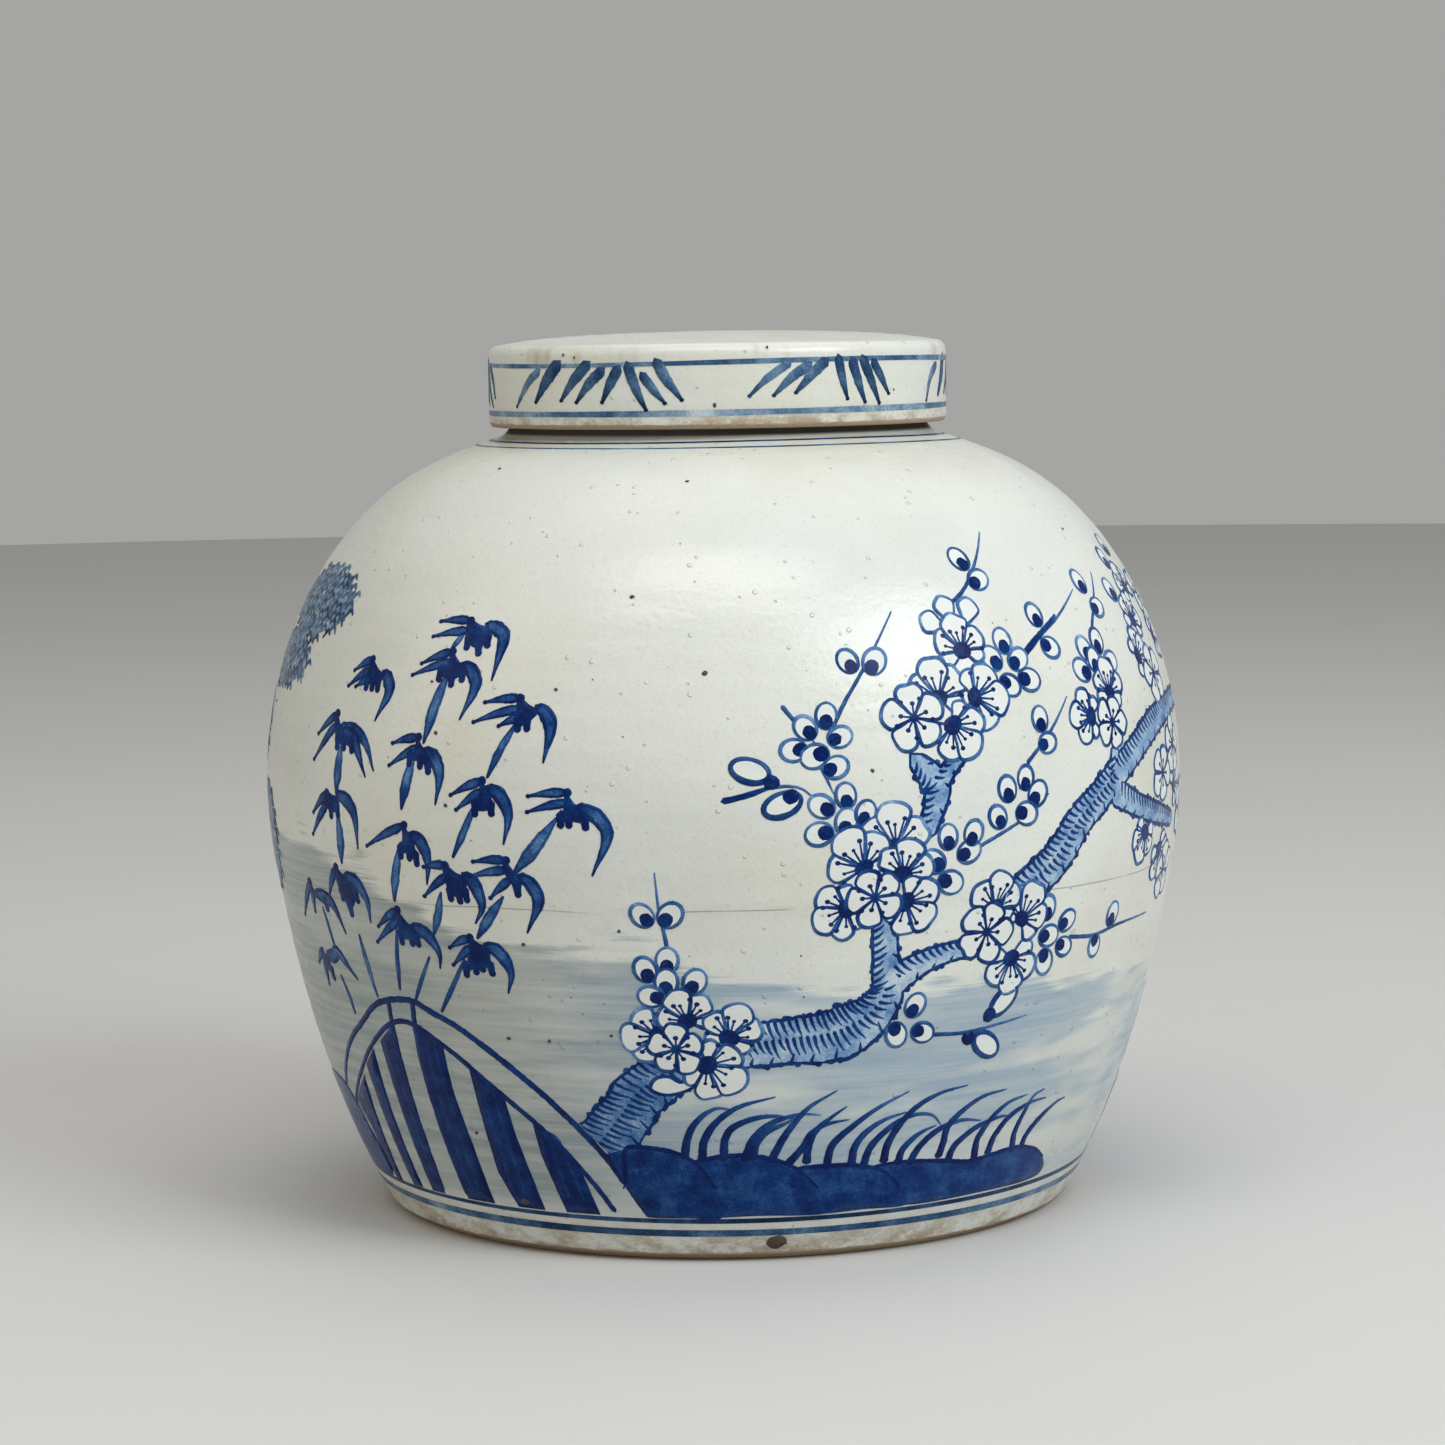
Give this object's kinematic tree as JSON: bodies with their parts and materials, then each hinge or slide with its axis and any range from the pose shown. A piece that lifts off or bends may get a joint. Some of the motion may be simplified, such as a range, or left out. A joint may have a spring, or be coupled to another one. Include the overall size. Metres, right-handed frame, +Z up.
{
  "type": "ginger jar",
  "caption": "Round-bellied glazed stoneware storage jar with a low neck, a flat cap lid that lifts off, and blue brush painting on a pale grey-white glaze.",
  "frame": {"origin": "centre of the foot ring, on the surface the jar stands on", "axes": "+Z up along the turning axis of the jar and lid; -Y faces the painted side with the fence, the bamboo and the plum tree; +X to its right"},
  "size_m": [0.28, 0.28, 0.265],
  "materials": {
    "jar_glaze": "satin glossy glaze, greyish white, with painted cobalt decoration",
    "lid_glaze": "satin glossy glaze, greyish white, bare brownish lower edge",
    "cobalt": "glossy cobalt blue brushwork under clear glaze"
  },
  "bodies": {
    "jar": {"jar_body": "jar_glaze"},
    "lid": {"lid": "lid_glaze"}
  },
  "joints": [
    {"name": "lid_lift", "type": "slide", "parent": "jar", "child": "lid", "axis": [0, 0, 1], "range_m": [0, 0.12]}
  ]
}
